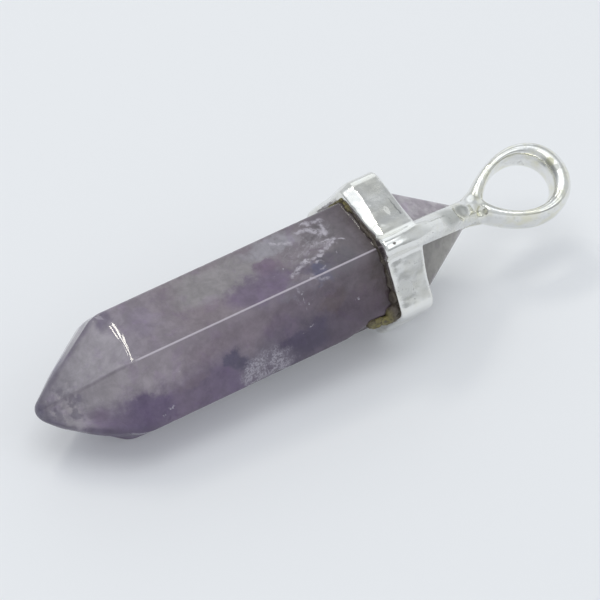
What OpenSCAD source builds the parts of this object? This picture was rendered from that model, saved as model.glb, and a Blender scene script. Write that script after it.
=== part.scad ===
// Crystal point pendant: a six-sided stone with a point at each end, held in a cast cap.
// The cap is a six-sided collar with two straps that close over the upper point to a bail.
// Millimetres. The pendant lies as it rests on a table: +X runs from the tip to the bail, +Z is up.
// The origin is on the table, under the middle of the pendant.

/* [Stone] */
// Width of the stone across two opposite sides
stone_flats = 7.8; // [6:0.1:10]
// Length of the six-sided shaft between its two shoulders
shaft_len = 20.6; // [12:0.1:30]
// Length of the lower point, measured to the corner that its sides would meet in
tip_len = 6.1; // [4:0.1:9]
// Length of the upper point, measured to the corner that its sides would meet in
crown_len = 7.0; // [5.5:0.1:9]
// Radius of the stone's worn long edges
edge_r = 0.3; // [0.1:0.05:0.6]
// Radius of the rounded shoulders between the shaft and the two points
shoulder_r = 2.0; // [0.5:0.1:4]
// Radius of the blunt end of the lower point
tip_r = 0.8; // [0.6:0.05:1.2]
// Radius of the blunt end of the upper point
crown_r = 1.15; // [0.9:0.05:1.3]

/* [Collar] */
// Thickness of the collar's wall
collar_wall = 0.65; // [0.5:0.05:0.8]
// Length of the collar along the stone
collar_len = 2.4; // [1.5:0.1:5]
// How far the collar reaches past the stone's upper shoulder
collar_lap = 0.3; // [0:0.05:0.6]
// Radius of the collar's six outer corners
collar_corner_r = 0.8; // [0.3:0.05:1.5]

/* [Cement] */
// Space between the stone's sides and the collar's wall, which the cement fills
cement_space = 0.15; // [0.1:0.05:0.5]
// How far the cement shows on the stone in front of the collar
cement_lead = 0.45; // [0.2:0.05:1]
// Clearance on each side of the cement
fit_gap = 0.03; // [0.01:0.01:0.04]

/* [Straps] */
// Height of a strap's outer face above the corner of the collar
strap_rise = 0.6; // [0.3:0.05:1]
// Thickness of a strap at the upper point's end, square to the pendant's axis
strap_t = 0.85; // [0.6:0.05:1.1]
// Clearance between a strap and the edge of the upper point
strap_gap = 0.1; // [0.05:0.05:0.3]
// Width of a strap at its inner face
strap_w = 1.8; // [1.2:0.1:3]
// Width of a strap at its outer face
strap_face_w = 0.9; // [0.5:0.1:1.2]
// How far a strap's foot stands in front of the collar
strap_lead = 0.25; // [0:0.05:0.6]
// How far a strap's outer face reaches over the neck before it steps down to the bail
strap_reach = 0.25; // [0.1:0.05:0.5]
// Angle between the straps and the corners of the collar
strap_turn = 3; // [0:0.5:8]

/* [Bail] */
// Length of the bail's eye
eye_len = 4.95; // [3.5:0.05:8]
// Width of the bail's eye
eye_w = 3.8; // [2.5:0.1:6]
// Thickness of the bail's band at the sides of the eye
band_t = 0.85; // [0.6:0.05:1.5]
// Thickness of the bail's band at the far end of the eye
band_end_t = 1.35; // [0.8:0.05:2]
// Width of the bail's band, along the eye
band_w = 2.2; // [1.8:0.1:3]
// Length of solid metal between the upper point and the eye
neck_len = 1.6; // [1.2:0.05:2.5]
// Free space between the upper point and the neck
neck_gap = 0.15; // [0.05:0.05:0.4]
// Angle by which the bail is twisted about the pendant's axis, against the straps
bail_twist = 16; // [0:1:30]

/* [Hidden] */
ROUND_FN = 64;
CORNER_POINTS = 5;
END_STEPS = 4;
SHOULDER_STEPS = 4;
EYE_POINTS = 48;
BAND_POINTS = 12;
// Share of a blunt end's half width that its corner radius takes; 1 would be a true ball
end_round = 0.95;
// How much the outlines of the eye and of the band are drawn in towards the neck; 0 is an ellipse
eye_pinch = 0.5;
band_pinch = 0.75;
// How square the section of the band is; 2 is an ellipse
band_square = 3;
// Thin slice between which a strap's straight lengths are stretched
slice = 0.02;

// Angles of the six corners, counted from the X axis of the pendant's own cross-section
corner_angle = 90 - strap_turn;
corners = [for (i = [0:5]) corner_angle + 60 * i];

// Distances along the pendant's axis, from the corner that the lower point's sides meet in
shoulder_high = tip_len + shaft_len;
stone_end = shoulder_high + crown_len;
stone_tip = end_centre(tip_len, tip_r) - tip_r;
stone_top = stone_end - end_centre(crown_len, crown_r) + crown_r;
collar_back = shoulder_high + collar_lap;
collar_front = collar_back - collar_len;
foot_front = collar_front - strap_lead;
neck_front = stone_top + neck_gap;
strap_end = neck_front + strap_reach;
eye_front = neck_front + neck_len;
bail_end = eye_front + eye_len + band_end_t;

// Widths of the collar across two opposite sides, inside and outside
collar_bore = stone_flats + 2 * cement_space;
collar_flats = collar_bore + 2 * collar_wall;

// Heights of a strap's faces above the axis, at its foot and where it ends over the neck
foot_top = corner_centre(collar_flats, collar_corner_r) + collar_corner_r + strap_rise;
foot_bottom = collar_bore / 2 / cos(30) + fit_gap;
end_bottom = stone_flats / 2 / cos(30) * (stone_end - strap_end) / crown_len + strap_gap;
end_top = end_bottom + strap_t;

// Angle between the axis and the flat sides of a point of the given length
function side_slope(length) = atan(stone_flats / 2 / length);
// Distance from the corner that a point's sides meet in to the centre of its blunt end
function end_centre(length, r) = r / sin(side_slope(length));
// Distance from that corner to the line where the rounded shoulder meets the shaft
function shoulder_place(length) = length + shoulder_r * tan(side_slope(length) / 2);
// Radius from the axis to the centre of a rounded corner of a six-sided outline
function corner_centre(flats, r) = (flats / 2 - r) / cos(30);

// The pendant rests on three feet: a corner of the stone's lower shoulder, a front corner of the
// collar, and the edge of the lower strap's foot. Each is a centre and a radius round it, in a frame
// with X along the pendant's axis, Y across the straps and Z along them.
rest_corner = corner_angle + 120;
stone_foot = concat([shoulder_place(tip_len)],
                    corner_centre(stone_flats, edge_r) * [cos(rest_corner), sin(rest_corner)]);
collar_foot = concat([collar_front],
                     corner_centre(collar_flats, collar_corner_r) * [cos(rest_corner), sin(rest_corner)]);
strap_foot = [foot_front, -strap_face_w / 2, -foot_top];
feet = [stone_foot, collar_foot, strap_foot];
feet_r = [edge_r, collar_corner_r, 0];

function foot(i, up) = feet[i] - feet_r[i] * up;
function plane_up(a, b, c) = let (v = cross(b - a, c - a)) v * sign(v.z) / norm(v);
// The upward direction of the table, refined until it touches all three feet
function table_up(up, passes) =
    passes == 0 ? up : table_up(plane_up(foot(0, up), foot(1, up), foot(2, up)), passes - 1);

up = table_up([0, 0, 1], 5);
rest_roll = atan2(up.y, up.z);
rest_pitch = -atan2(up.x, norm([up.y, up.z]));
rest_height = -foot(1, up) * up;
tip_x = end_centre(tip_len, tip_r) * cos(rest_pitch) - tip_r;
bail_x = bail_end * cos(rest_pitch);
middle_x = (tip_x + bail_x) / 2;

// Lays a piece that stands on its axis down on the table
module at_rest() {
    translate([-middle_x, 0, rest_height])
        rotate([0, rest_pitch, 0])
            rotate([rest_roll, 0, 0])
                rotate([90, 0, 90]) children();
}

module six_sided(flats) {
    rotate(corner_angle) circle(r = flats / 2 / cos(30), $fn = 6);
}

// Six-sided outline whose corners are true arcs
module rounded_six_sided(flats, r) {
    side = 2 * corner_centre(flats, r) * sin(30);
    for (a = [0:60:120]) rotate(corner_angle + 30 + a) square([flats, side], center = true);
    for (a = corners) rotate(a) translate([corner_centre(flats, r), 0]) circle(r, $fn = ROUND_FN);
}

// Faces between rings of n points each, the first of which is point number first
function sweep_faces(first, rings, n, closed) =
    [for (i = [0:rings - (closed ? 1 : 2)], k = [0:n - 1])
        let (this = first + i * n, next = first + (i + 1) % rings * n, k2 = (k + 1) % n)
            [this + k, next + k, next + k2, this + k2]];

// Sections of a point, from its blunt end to the shaft: place on the axis, half width, corner radius
function point_sections(length, r) =
    let (slope = side_slope(length)) concat(
        [for (i = [1:END_STEPS]) let (a = (90 - slope) * i / END_STEPS)
            [end_centre(length, r) - r * cos(a), r * sin(a), end_round * r * sin(a)]],
        [for (i = [SHOULDER_STEPS:-1:0])
            let (a = slope * i / SHOULDER_STEPS, half = stone_flats / 2 - shoulder_r * (1 - cos(a)))
                [shoulder_place(length) - shoulder_r * sin(a), half, edge_r]]);

// Six-sided ring of points with rounded corners
function section_ring(place, half, r) =
    [for (a = corners, k = [0:CORNER_POINTS - 1])
        let (centre = corner_centre(2 * half, r), b = a - 30 + 60 * k / (CORNER_POINTS - 1))
            [centre * cos(a) + r * cos(b), centre * sin(a) + r * sin(b), place]];

module stone() {
    crown = point_sections(crown_len, crown_r);
    rings = concat([for (s = point_sections(tip_len, tip_r)) section_ring(s[0], s[1], s[2])],
                   [for (i = [len(crown) - 1:-1:0]) let (s = crown[i])
                       section_ring(stone_end - s[0], s[1], s[2])]);
    n = len(rings[0]);
    top = len(rings) * n + 1;
    points = concat([[0, 0, stone_tip]], [for (ring = rings) each ring], [[0, 0, stone_top]]);
    ends = [for (k = [0:n - 1]) let (k2 = (k + 1) % n) each
        [[0, 1 + k, 1 + k2], [top, top - n + k2, top - n + k]]];
    color([0.50, 0.43, 0.53]) at_rest()
        polyhedron(points, concat(sweep_faces(1, len(rings), n, false), ends));
}

// Ring of cement between stone and collar, with a sloped bead in front of the collar
module cement() {
    inner_flats = stone_flats + 2 * fit_gap;
    outer_flats = collar_bore - 2 * fit_gap;
    color([0.31, 0.27, 0.18]) at_rest() difference() {
        union() {
            translate([0, 0, collar_front - cement_lead]) rotate(corner_angle)
                cylinder(h = cement_lead, r1 = (inner_flats / 2 + fit_gap) / cos(30),
                         r2 = outer_flats / 2 / cos(30), $fn = 6);
            translate([0, 0, collar_front])
                linear_extrude(shoulder_high - collar_front) six_sided(outer_flats);
        }
        translate([0, 0, collar_front - 2 * cement_lead])
            linear_extrude(collar_len + 4 * cement_lead) six_sided(inner_flats);
    }
}

module collar() {
    translate([0, 0, collar_front]) linear_extrude(collar_len) difference() {
        rounded_six_sided(collar_flats, collar_corner_r);
        six_sided(collar_bore);
    }
}

// Thin slice of a strap: its outer face is at the height top above the axis, its inner face at bottom
module strap_slice(place, top, bottom) {
    face = strap_face_w / 2;
    root = strap_w / 2;
    translate([0, 0, place]) linear_extrude(slice)
        polygon([[-face, top], [face, top], [root, bottom], [-root, bottom]]);
}

// A strap lies flat on the collar, slopes down over the upper point and steps down to the neck
module strap() {
    hull() {
        strap_slice(foot_front, foot_top, foot_bottom);
        strap_slice(collar_back, foot_top, foot_bottom);
    }
    hull() {
        strap_slice(collar_back, foot_top, foot_bottom);
        strap_slice(strap_end, end_top, end_bottom);
    }
    hull() {
        strap_slice(strap_end, end_top, end_bottom);
        strap_slice(neck_front + neck_len / 2, band_w / 2, 0);
    }
}

// Outline that is pointed at start and round at start + len: an eye, or the band round it
function eye_shape(a, pinch) = sin(a) * pow(sin(a / 2), pinch);
function eye_point(a, start, len, width, pinch) =
    let (widest = eye_shape(acos(-pinch / (2 + pinch)), pinch))
        [width / 2 * eye_shape(a, pinch) / widest, 0, start + len / 2 * (1 - cos(a))];
function squared(c) = sign(c) * pow(abs(c), 2 / band_square);

// Point of the band at angle a round the eye and at angle b round the band's own section
function band_point(a, b) =
    let (band_len = neck_len + eye_len + band_end_t,
         inner = eye_point(a, eye_front, eye_len, eye_w, eye_pinch),
         outer = eye_point(a, neck_front, band_len, eye_w + 2 * band_t, band_pinch))
            (inner + outer + (outer - inner) * squared(cos(b)) + [0, band_w * squared(sin(b)), 0]) / 2;

// Neck and band in one: a rounded section, swept round the eye
module bail() {
    points = [for (i = [0:EYE_POINTS - 1], k = [0:BAND_POINTS - 1])
        band_point(360 * i / EYE_POINTS, 360 * k / BAND_POINTS)];
    rotate(-bail_twist) polyhedron(points, sweep_faces(0, EYE_POINTS, BAND_POINTS, true));
}

module setting() {
    color([0.80, 0.80, 0.81]) at_rest() union() {
        collar();
        strap();
        mirror([0, 1, 0]) strap();
        bail();
    }
}

stone();
cement();
setting();
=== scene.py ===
import math

import bpy
import numpy as np
from mathutils import Matrix, Vector, noise

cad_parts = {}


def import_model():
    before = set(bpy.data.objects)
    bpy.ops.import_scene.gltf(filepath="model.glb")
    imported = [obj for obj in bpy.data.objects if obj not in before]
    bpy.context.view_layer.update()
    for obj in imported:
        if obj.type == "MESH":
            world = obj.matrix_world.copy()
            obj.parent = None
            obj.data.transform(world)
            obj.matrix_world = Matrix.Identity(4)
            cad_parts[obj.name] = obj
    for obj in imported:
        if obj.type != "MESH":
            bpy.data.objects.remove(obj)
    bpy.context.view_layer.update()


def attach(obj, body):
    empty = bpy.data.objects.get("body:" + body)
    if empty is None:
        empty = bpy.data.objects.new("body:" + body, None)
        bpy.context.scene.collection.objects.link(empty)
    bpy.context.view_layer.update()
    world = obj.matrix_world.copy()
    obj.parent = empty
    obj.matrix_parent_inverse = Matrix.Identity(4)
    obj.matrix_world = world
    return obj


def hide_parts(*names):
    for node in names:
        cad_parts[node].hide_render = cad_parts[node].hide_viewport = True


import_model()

MM = 0.001
# The vector noise that roughens the cap and the cement takes its offsets from this seed
noise.seed_set(5)

# Pose on the table, from the pendant's own frame: X across, Y along the straps, Z along the axis
ROLL = math.radians(38.642)
PITCH = math.radians(-2.608)
REST_SHIFT = (-20.5894, 0.0, 3.7788)
# Direction of the first of the six corners, in degrees; side k lies between corners k and k + 1
FIRST_CORNER = 87.0

# Stone, in millimetres
STONE_FLATS = 7.8
STONE_HALF = STONE_FLATS / 2
TIP_LEN = 6.1
SHAFT_LEN = 20.6
CROWN_LEN = 7.0
STONE_HIGH = TIP_LEN + SHAFT_LEN
STONE_END = STONE_HIGH + CROWN_LEN
TIP_R = 0.8
CROWN_R = 1.15
SHOULDER_R = 2.0
# Radius of each long edge, and of the blunt ends' corners as a share of their half width
EDGE_RADII = (0.17, 0.3, 0.3, 0.3, 0.3, 0.22)
BLUNT_CORNER = 0.95
# Points of the stone's mesh on each corner and side, and its steps along the axis
CORNER_POINTS = 9
SIDE_POINTS = (40, 36, 36, 36, 36, 64)
TIP_STEP, TIP_STEP_END, SHAFT_STEP = 0.045, 8.0, 0.14
# Polished bevel above the lower point: start on the middle of the upper side, how the start leans
# and curves across the side, steepest slope, soft start; then how deep the flat window lies
BEVEL_START, BEVEL_LEAN, BEVEL_CURVE, BEVEL_SLOPE, BEVEL_SOFT = 7.42, 0.20, 0.11, 0.36, 1.15
WINDOW_DROP, WINDOW_BLEND = 0.27, 0.24
# How much wider the front side is than the others, and how far and where the lower point swells
WIDER_FRONT = 0.42
LOWER_SWELL, UPPER_SWELL = 0.37, 0.20
LOWER_SWELL_AT, UPPER_SWELL_AT = 142.0, -3.0

# Cast cap, in millimetres
COLLAR_FRONT, COLLAR_BACK = 24.6, 27.0
COLLAR_FLATS, COLLAR_BORE = 9.4, 8.1
COLLAR_CORNER_R, BORE_CORNER_R = 1.1, 0.2
WORN_SLOPE, WORN_LEN, WORN_TOP_LEN = 0.40, 0.42, 0.9
FAR_CORNER_LEAD, TOP_CORNER_LIFT, UPPER_BACK_LAP = 0.78, 0.2, 0.32
STRAP_TOP, STRAP_ROOT = 5.903, 4.707
STRAP_FOOT, STRAP_END, STRAP_REACH = 24.35, 32.887, 0.70
STRAP_END_TOP, STRAP_END_ROOT = 1.473, 0.623
STRAP_FACE, STRAP_WIDTH, STRAP_CROWN = 0.9, 1.8, 0.50
STRAP_BEND_R, STRAP_EDGE_R = 1.1, 0.22
CAP_CELL, CEMENT_CELL, OUTLINE_CELL = 0.085, 0.075, 0.08

# Bail: eye and band outlines, section, twist about the axis and sideways bend
EYE_FRONT, EYE_LEN, EYE_WIDTH, EYE_PINCH = 34.22, 4.94, 3.77, 0.49
BAND_ROOT, BAND_END, BAND_OUTER, BAND_PINCH = 1.59, 1.38, 5.51, 0.74
BAND_HALF_NECK, BAND_HALF_END, BAND_SQUARENESS = 1.02, 1.14, 2.5
BAIL_TWIST, BAIL_BEND, BAIL_OFFSET = math.radians(-15.74), math.radians(1.99), -0.147
BAIL_PIVOT = EYE_FRONT - 1.0
BAIL_BLEND = 0.5
# Pits and ridge of the neck: centre and radii
NECK_PITS = (((0.30, 2.60, 31.95), (0.78, 0.68, 0.85)), ((-0.40, 1.15, 33.45), (0.36, 0.36, 0.30)))
NECK_RIDGE = ((-0.62, 0.62, 34.0), (0.42, 0.25, 0.12))


def turned(a, b, angle):
    """Two coordinates, turned about the third axis."""
    cos, sin = math.cos(angle), math.sin(angle)
    return a * cos - b * sin, a * sin + b * cos


def at_rest(points):
    """Points of the pendant's own frame in millimetres, laid on the table, in metres."""
    x = points[:, 2]
    y, z = turned(points[:, 0], points[:, 1], ROLL)
    x, z = turned(x, z, -PITCH)
    return (np.stack([x, y, z], axis=1) + REST_SHIFT) * MM


def mesh_piece(name, points, faces, material, node):
    """Piece that stands for one CAD node; its own-frame points stay as an attribute."""
    mesh = bpy.data.meshes.new(name)
    mesh.from_pydata(at_rest(points).tolist(), [], faces)
    own = mesh.attributes.new("own_place", "FLOAT_VECTOR", "POINT")
    own.data.foreach_set("vector", points.astype(np.float32).ravel())
    mesh.polygons.foreach_set("use_smooth", [True] * len(mesh.polygons))
    mesh.materials.append(material)
    mesh.update()
    piece = bpy.data.objects.new(name, mesh)
    bpy.context.scene.collection.objects.link(piece)
    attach(piece, "root")
    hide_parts(node)


def grain(points, scale, place):
    """Smooth noise of about -1 to 1 at each point, with lumps of this size in millimetres."""
    shift = Vector((17.3 * place, 5.1 * place, 9.7 * place))
    return np.array([noise.noise(Vector(p) / scale + shift) for p in points])


def shoves(points, scale):
    """The same as a vector at each point."""
    return np.array([noise.noise_vector(Vector(p) / scale) for p in points])


def smooth(value, low, high):
    """0 below low, 1 above high and an eased step between them."""
    t = np.clip((value - low) / (high - low), 0, 1)
    return t * t * (3 - 2 * t)


def soft_ramp(value, soft):
    """0 below 0, rising by 1 for 1 past the soft start."""
    started = np.where(value < soft, value ** 2 / (2 * soft), value - soft / 2)
    return np.where(value < 0, 0, started)


def spoke(turn, radius=1.0):
    """Point at a radius from the axis, turned by so many degrees from the first corner."""
    a = math.radians(FIRST_CORNER + turn)
    return radius * math.cos(a), radius * math.sin(a)


def towards(x, y, turn):
    """How far points lie from the axis in the direction of a spoke."""
    cos, sin = spoke(turn)
    return x * cos + y * sin


def on_side(side, across, place):
    """Point on a side of the stone; across is counted from the middle of that side."""
    cos, sin = spoke(30 + 60 * side)
    x, y = STONE_HALF * cos - across * sin, STONE_HALF * sin + across * cos
    return np.array([x, y, place])


def near(points, centre, radii):
    """1 at the centre of an ellipsoid with these radii, 0 outside it."""
    return 1 - smooth(np.linalg.norm((points - centre) / np.array(radii), axis=1), 0.4, 1.0)


# Stone

# Frosty chip on the lower edge, and a smaller one towards the tip
CHIP = on_side(0, 2.05, 15.0)
SMALL_CHIP = on_side(0, 2.0, 8.0)


def point_profile(length, end_r, steps):
    """Place, half width, corner radius and share of rows from a blunt end to the shaft."""
    slope = math.atan(STONE_HALF / length)
    centre = end_r / math.sin(slope)
    rows = []
    for i in range(steps):
        a = (math.pi / 2 - slope) * (i + 1) / steps
        wide = end_r * math.sin(a)
        rows.append((centre - end_r * math.cos(a), wide, BLUNT_CORNER * wide, 0.0))
    start, start_half, corner, share = rows[-1]
    shoulder = length + SHOULDER_R * math.tan(slope / 2)
    end = shoulder - SHOULDER_R * math.sin(slope)
    end_half = STONE_HALF - SHOULDER_R * (1 - math.cos(slope))
    fine = 3 * steps
    for i in range(1, fine):
        t = i / fine
        half = start_half + t * (end_half - start_half)
        rows.append((start + t * (end - start), half, corner, t))
    for i in range(fine + 1):
        a = slope * (1 - i / fine)
        half = STONE_HALF - SHOULDER_R * (1 - math.cos(a))
        rows.append((shoulder - SHOULDER_R * math.sin(a), half, corner, 1.0))
    return rows


def rounded_corner(number, half, radius):
    """Arc of points round one corner of a six-sided ring."""
    centre = (half - radius) / math.cos(math.pi / 6)
    x, y = spoke(60 * number, centre)
    arc = [spoke(60 * number + turn, radius) for turn in np.linspace(-30, 30, CORNER_POINTS)]
    return [(x + dx, y + dy) for dx, dy in arc]


def hexagon_ring(place, half, end_corner, share):
    """Rounded six-sided ring: share 0 has the blunt end's corners, 1 the shaft's worn edges."""
    radii = [end_corner + share * (radius - end_corner) for radius in EDGE_RADII]
    arcs = [rounded_corner(i, half, radii[i]) for i in range(6)]
    ring = []
    for i in range(6):
        ring += arcs[i]
        (x0, y0), (x1, y1) = arcs[i][-1], arcs[(i + 1) % 6][0]
        for t in np.linspace(0, 1, SIDE_POINTS[i] + 2)[1:-1]:
            ring.append((x0 + t * (x1 - x0), y0 + t * (y1 - y0)))
    return [(x, y, place) for x, y in ring]


def sweep_faces(rings, n):
    """Quads between rings of n points, and a fan of triangles at each end."""
    faces = [(i * n + k, i * n + (k + 1) % n, (i + 1) * n + (k + 1) % n, (i + 1) * n + k)
             for i in range(rings - 1) for k in range(n)]
    first, last = rings * n, rings * n + 1
    faces += [(first, (k + 1) % n, k) for k in range(n)]
    faces += [(last, (rings - 1) * n + k, (rings - 1) * n + (k + 1) % n) for k in range(n)]
    return faces


def stone_points():
    """Points of the plain stone, ring by ring and then its two ends, and the number of rings."""
    tip = point_profile(TIP_LEN, TIP_R, 10)
    crown = point_profile(CROWN_LEN, CROWN_R, 6)
    low, high = tip[-1][0], STONE_END - crown[-1][0]
    places = [*np.arange(low + TIP_STEP, TIP_STEP_END, TIP_STEP),
              *np.arange(TIP_STEP_END, high - 0.05, SHAFT_STEP)]
    rows = tip + [(place, STONE_HALF, 0.3, 1.0) for place in places]
    rows += [(STONE_END - place, *rest) for place, *rest in reversed(crown)]
    points = np.array([p for row in rows for p in hexagon_ring(*row)])
    ends = np.array([[0, 0, tip[0][0] - 0.03], [0, 0, STONE_END - crown[0][0] + 0.03]])
    return np.vstack([points, ends]), len(rows)


def surface_wear(points, angle):
    """Outward move from soft waves on the sides, nicks in the edges and the frosty chips."""
    waves = 0.012 * grain(points, 4.0, 1)
    waves += 0.004 * grain(points, 1.2, 2) * smooth(points[:, 2], 7.0, 9.0)
    from_edge = np.abs((angle - FIRST_CORNER + 30) % 60 - 30)
    nicks = (1 - smooth(from_edge, 1.0, 5.0)) * np.clip(grain(points, 0.45, 3) - 0.35, 0, 1) * 0.10
    rough = 0.5 + 0.5 * grain(points, 0.28, 4) + 0.4 * grain(points, 0.13, 5)
    chip = near(points, CHIP, (1.1, 1.1, 1.9)) * (0.10 + 0.16 * rough)
    small = near(points, SMALL_CHIP, (0.5, 0.5, 0.6)) * (0.03 + 0.08 * rough)
    return waves - nicks - chip - small


def plain_depth(place):
    """How deep the plain lower point and its round shoulder lie below the shaft's sides."""
    fall = STONE_HALF / TIP_LEN
    shoulder = TIP_LEN + SHOULDER_R * math.tan(math.atan(fall) / 2)
    arc = SHOULDER_R - np.sqrt(np.maximum(SHOULDER_R ** 2 - (shoulder - place) ** 2, 0))
    straight_end = shoulder - SHOULDER_R * math.sin(math.atan(fall))
    point = np.where(place > straight_end, arc, STONE_HALF - fall * place)
    return np.where(place > shoulder, 0, point)


def polished_bevel(points):
    """How far the upper side is polished away: a crowned bevel that leans, and a flat window."""
    place = points[:, 2]
    across = towards(points[:, 0], points[:, 1], 60)
    facing = towards(points[:, 0], points[:, 1], -30)
    width = STONE_HALF / math.sqrt(3) * np.clip(place / TIP_LEN, 0.1, 1) + 0.05
    crown = np.clip(1 - (across / width) ** 4, 0, 1) * (facing > 0)
    start = BEVEL_START - BEVEL_LEAN * across - BEVEL_CURVE * across ** 2
    bevel = BEVEL_SLOPE * soft_ramp(start - place, BEVEL_SOFT)
    window = STONE_HALF - STONE_HALF / TIP_LEN * place + WINDOW_DROP * smooth(place, 1.5, TIP_LEN)
    fillet = np.maximum(WINDOW_BLEND - np.abs(bevel - window), 0) ** 2 / (4 * WINDOW_BLEND)
    return crown * np.maximum(np.maximum(bevel, window) + fillet - plain_depth(place), 0)


def tip_swell(points, angle):
    """Outward swell of the lower point, below and on its far side."""
    place = points[:, 2]
    below = smooth(np.cos(np.radians(angle - LOWER_SWELL_AT)), 0.5, 0.95)
    below *= smooth(place, 0.5, 1.9) * (1 - smooth(place, 3.6, 6.4))
    far = smooth(np.cos(np.radians(angle - UPPER_SWELL_AT)), 0.88, 1.0)
    far *= smooth(place, 0.8, 3.0) * (1 - smooth(place, 5.5, 7.5))
    return LOWER_SWELL * below + UPPER_SWELL * far


def wider_front(points, angle):
    """Sideways shift of the front side's lower corner, which fades out before the collar."""
    place = points[:, 2]
    from_corner = np.abs((angle - FIRST_CORNER - 60 + 180) % 360 - 180)
    across = np.tan(np.radians(30 - np.minimum(from_corner, 60))) / math.tan(math.radians(30))
    share = (across + 1) / 2 * np.clip((place - 0.6) / 2.6, 0, 1) * (1 - smooth(place, 20.5, 23.3))
    return WIDER_FRONT * share[:, None] * np.array([*spoke(120), 0])


def worn(points):
    """Points of the plain stone, moved by its wear, its polished bevel and its uneven cut."""
    radial = points * (1, 1, 0)
    length = np.maximum(np.linalg.norm(radial, axis=1), 1e-6)
    radial /= length[:, None]
    angle = np.degrees(np.arctan2(points[:, 1], points[:, 0]))
    outward = surface_wear(points, angle) * smooth(length, 0.3, 1.5)
    outward += tip_swell(points, angle) - polished_bevel(points)
    return points + radial * outward[:, None] + wider_front(points, angle)


def stone_body():
    points, rings = stone_points()
    faces = sweep_faces(rings, (len(points) - 2) // rings)
    mesh_piece("stone_body", worn(points), faces, amethyst(), "stone")


# Signed distance fields, and the mesh of their zero surface


def round_max(a, b, r):
    """Overlap of two fields, with an outer corner of radius r."""
    return np.minimum(np.maximum(a, b), -r) + np.hypot(np.maximum(a + r, 0), np.maximum(b + r, 0))


def round_min(a, b, r):
    """Union of two fields, with a fillet of radius r."""
    return np.maximum(np.minimum(a, b), r) - np.hypot(np.maximum(r - a, 0), np.maximum(r - b, 0))


def six_sided(x, y, half):
    """Signed distance to the hexagon with this half width."""
    px, py = np.abs(towards(x, y, 0)), np.abs(towards(x, y, 90))
    cos30, sin30, tan30 = math.sqrt(0.75), 0.5, math.sqrt(1 / 3)
    fold = 2 * np.minimum(sin30 * py - cos30 * px, 0)
    px, py = px + fold * cos30, py - fold * sin30
    px, py = px - np.clip(px, -tan30 * half, tan30 * half), py - half
    return np.hypot(px, py) * np.sign(py)


def ball(x, y, z, centre, radii):
    """Rough signed distance to an ellipsoid."""
    size = np.sqrt(((x - centre[0]) / radii[0]) ** 2 + ((y - centre[1]) / radii[1]) ** 2
                   + ((z - centre[2]) / radii[2]) ** 2)
    return (size - 1) * min(radii)


CELL_CORNERS = [(i, j, k) for i in (0, 1) for j in (0, 1) for k in (0, 1)]


def crossed_cells(inside):
    """Grid cells that the zero surface crosses."""
    nx, ny, nz = (n - 1 for n in inside.shape)
    count = sum(inside[i:nx + i, j:ny + j, k:nz + k].astype(int) for i, j, k in CELL_CORNERS)
    return np.argwhere((count > 0) & (count < 8))


def cell_points(values, cells):
    """Mean of the crossings on each cell's twelve edges, counted in grid steps."""
    total, weight = np.zeros((len(cells), 3)), np.zeros(len(cells))
    for a in CELL_CORNERS:
        for b in CELL_CORNERS:
            if sum(b) - sum(a) != 1 or any(b[i] < a[i] for i in range(3)):
                continue
            va, vb = values[tuple((cells + a).T)], values[tuple((cells + b).T)]
            crosses = (va < 0) != (vb < 0)
            share = np.where(crosses, va / np.where(crosses, va - vb, 1), 0)
            way = np.array(b) - np.array(a)
            total += crosses[:, None] * (np.array(a) + share[:, None] * way)
            weight += crosses
    return cells + total / weight[:, None]


def cell_faces(inside, number):
    """One quad for each grid edge that the surface crosses, facing outwards."""
    faces = []
    for axis in range(3):
        u, v = [i for i in range(3) if i != axis]
        ahead = np.eye(3, dtype=int)[axis]
        next_one = tuple(slice(1 + step, n - 1 + step) for step, n in zip(ahead, inside.shape))
        edges = np.argwhere(inside[1:-1, 1:-1, 1:-1] != inside[next_one]) + 1
        quad = []
        for du, dv in ((0, 0), (1, 0), (1, 1), (0, 1)):
            cell = edges.copy()
            cell[:, u] -= du
            cell[:, v] -= dv
            quad.append(number[tuple(cell.T)])
        quad = np.stack(quad, axis=1)
        outward = inside[tuple(edges.T)]
        flip = outward if axis != 1 else ~outward
        quad[flip] = quad[flip][:, ::-1]
        faces.append(quad[(quad >= 0).all(axis=1)])
    return np.vstack(faces).tolist()


def field_mesh(field, low, high, step):
    """Quads of the zero surface of a field over a box: one point in each cell that it crosses."""
    axes = [np.arange(low[i], high[i] + step, step) for i in range(3)]
    values = field(*np.meshgrid(*axes, indexing="ij"))
    inside = values < 0
    cells = crossed_cells(inside)
    number = np.full([n - 1 for n in inside.shape], -1)
    number[tuple(cells.T)] = np.arange(len(cells))
    return cell_points(values, cells) * step + np.array(low), cell_faces(inside, number)


# Cast cap


def collar_front(x, y):
    """Place of the collar's front edge, which reaches further forward at the far corner."""
    return COLLAR_FRONT - FAR_CORNER_LEAD * smooth(towards(x, y, -120), 2.7, 5.2)


def collar_field(x, y, z):
    """Six-sided collar with a worn front edge; its upper sides lap further back."""
    top = towards(x, y, -60)
    lift_x, lift_y = spoke(-60, TOP_CORNER_LIFT * smooth(top, 3.6, 5.2))
    half = COLLAR_FLATS / 2 - COLLAR_CORNER_R
    outer = six_sided(x - lift_x, y - lift_y, half) - COLLAR_CORNER_R
    inner = six_sided(x, y, COLLAR_BORE / 2 - BORE_CORNER_R) - BORE_CORNER_R
    front = collar_front(x, y)
    back = COLLAR_BACK + UPPER_BACK_LAP * smooth(towards(x, y, -30), 1.5, 4.5)
    worn_len = WORN_LEN + (WORN_TOP_LEN - WORN_LEN) * smooth(top, 2.4, 4.8)
    chamfered = outer + WORN_SLOPE * soft_ramp(worn_len - (z - front), 0.2)
    body = round_max(chamfered, front - z, 0.07)
    body = round_max(body, z - back, 0.16)
    return round_max(body, -inner, 0.08)


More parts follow.
